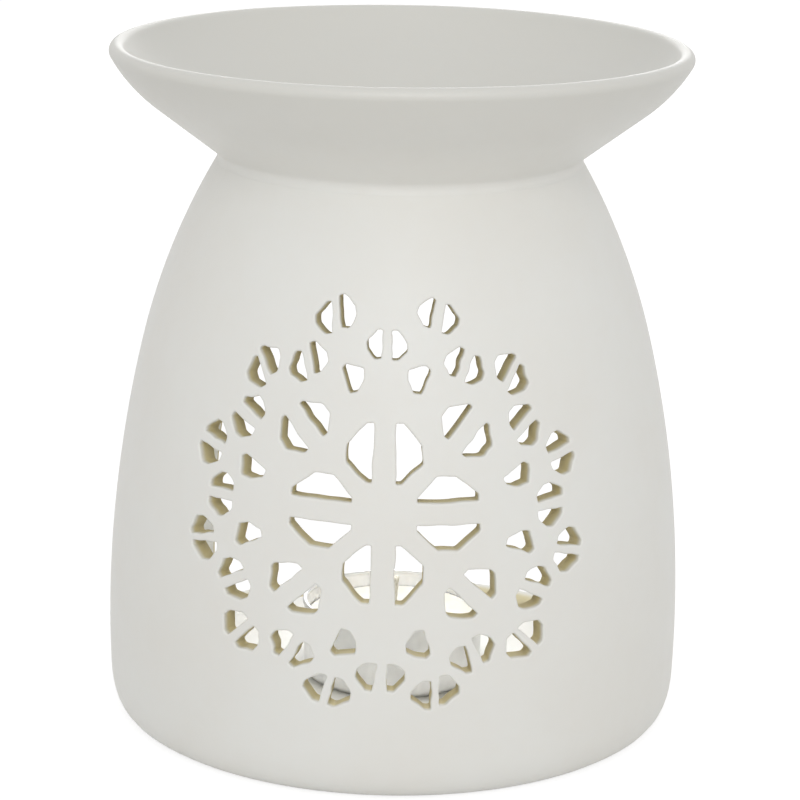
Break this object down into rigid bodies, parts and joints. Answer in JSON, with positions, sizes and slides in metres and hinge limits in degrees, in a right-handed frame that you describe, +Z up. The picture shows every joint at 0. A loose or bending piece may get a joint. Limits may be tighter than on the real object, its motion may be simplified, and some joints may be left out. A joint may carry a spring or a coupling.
{
  "type": "essential oil burner",
  "caption": "White porcelain oil burner: a bell-shaped body pierced with a rosette, a flared oil dish on its neck, and a tealight that slides in from an arched opening behind.",
  "frame": {"origin": "centre of the foot's resting plane, on the axis of the bell", "axes": "+Z up along the axis, -Y towards the rosette (the front), +Y out of the candle opening (the back)"},
  "size_m": [0.12, 0.1195, 0.14],
  "materials": {
    "porcelain": "unglazed white bisque porcelain, smooth and matte",
    "porcelain_dish": "white porcelain, matte outside, satin on the lip and inside",
    "cup_aluminium": "thin pressed aluminium, bright",
    "wax": "white paraffin wax, slightly translucent",
    "cotton": "braided cotton, waxed",
    "tinned_steel": "tinned steel sheet"
  },
  "bodies": {
    "burner": {"burner_body": "porcelain", "oil_dish": "porcelain_dish"},
    "tealight": {"tealight_cup": "cup_aluminium"},
    "wax_refill": {"candle_wax": "wax", "wick": "cotton", "wick_sustainer": "tinned_steel"}
  },
  "joints": [
    {"name": "tealight_slide", "type": "slide", "parent": "burner", "child": "tealight", "axis": [0, 1, 0], "range_m": [0, 0.05]},
    {"name": "wax_lift", "type": "slide", "parent": "tealight", "child": "wax_refill", "axis": [0, 0, 1], "range_m": [0, 0.018]}
  ]
}
